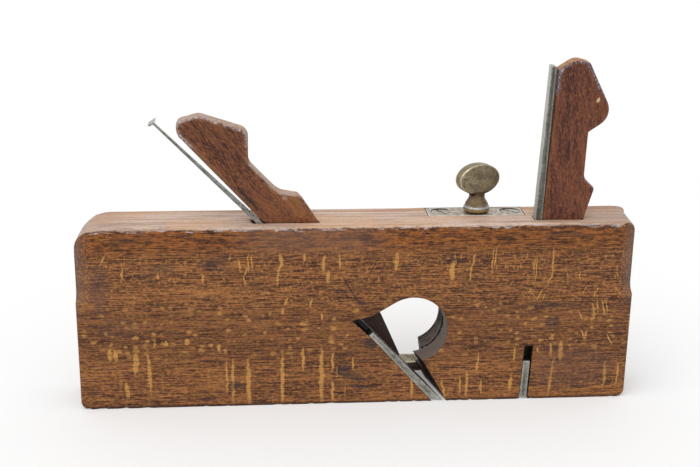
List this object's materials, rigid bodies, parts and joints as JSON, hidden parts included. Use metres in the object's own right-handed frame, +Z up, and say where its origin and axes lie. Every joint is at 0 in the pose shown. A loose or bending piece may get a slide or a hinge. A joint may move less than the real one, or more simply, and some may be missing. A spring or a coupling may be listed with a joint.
{
  "type": "dado plane",
  "caption": "Wooden dado plane with a skewed iron and a two-spur nicker, both wedged in mortises, and a brass depth stop that a thumbscrew raises and lowers.",
  "frame": {"origin": "on the sole, halfway along the stock and halfway across it", "axes": "+X along the stock towards the toe, +Y across it towards the left-hand cheek, +Z up from the sole"},
  "size_m": [0.2414, 0.0353, 0.1522],
  "materials": {
    "beech": "old beech, oiled and worn",
    "wedge_wood": "old beech, dark and handled",
    "worn_steel": "old forged steel, grey and dull",
    "plate_brass": "pale scuffed brass",
    "brass": "tarnished brass, bright on worn edges"
  },
  "bodies": {
    "stock": {"stock": "beech", "stop_plate": "plate_brass", "plate_screw_rear": "plate_brass", "plate_screw_front": "plate_brass"},
    "main_iron": {"main_iron": "worn_steel"},
    "main_wedge": {"main_wedge": "wedge_wood"},
    "nicker_iron": {"nicker_iron": "worn_steel"},
    "nicker_wedge": {"nicker_wedge": "wedge_wood"},
    "thumbscrew": {"thumbscrew": "brass", "retaining_collar": "brass", "collar_pin": "worn_steel"},
    "depth_stop": {"depth_stop": "brass"}
  },
  "joints": [
    {"name": "main_iron_slide", "type": "slide", "parent": "stock", "child": "main_iron", "axis": [-0.6652, 0, 0.7466], "range_m": [-0.001, 0.0065]},
    {"name": "main_wedge_slide", "type": "slide", "parent": "stock", "child": "main_wedge", "axis": [-0.5402, 0, 0.8415], "range_m": [0, 0.045]},
    {"name": "nicker_iron_slide", "type": "slide", "parent": "stock", "child": "nicker_iron", "axis": [0.0436, 0, 0.999], "range_m": [-0.001, 0.007]},
    {"name": "nicker_wedge_slide", "type": "slide", "parent": "stock", "child": "nicker_wedge", "axis": [0.274, 0, 0.9617], "range_m": [0, 0.045]},
    {"name": "thumbscrew_turn", "type": "hinge", "parent": "stock", "child": "thumbscrew", "pos_m": [0.053, 0.0062, 0.0826], "axis": [0, 0, -1], "range_deg": [-851, 4536]},
    {"name": "depth_stop_slide", "type": "slide", "parent": "stock", "child": "depth_stop", "axis": [0, 0, 1], "range_m": [-0.003, 0.016]}
  ],
  "couplings": [
    {"joint": "thumbscrew_turn", "follows": "depth_stop_slide", "rad_per_m": 4947.4}
  ]
}
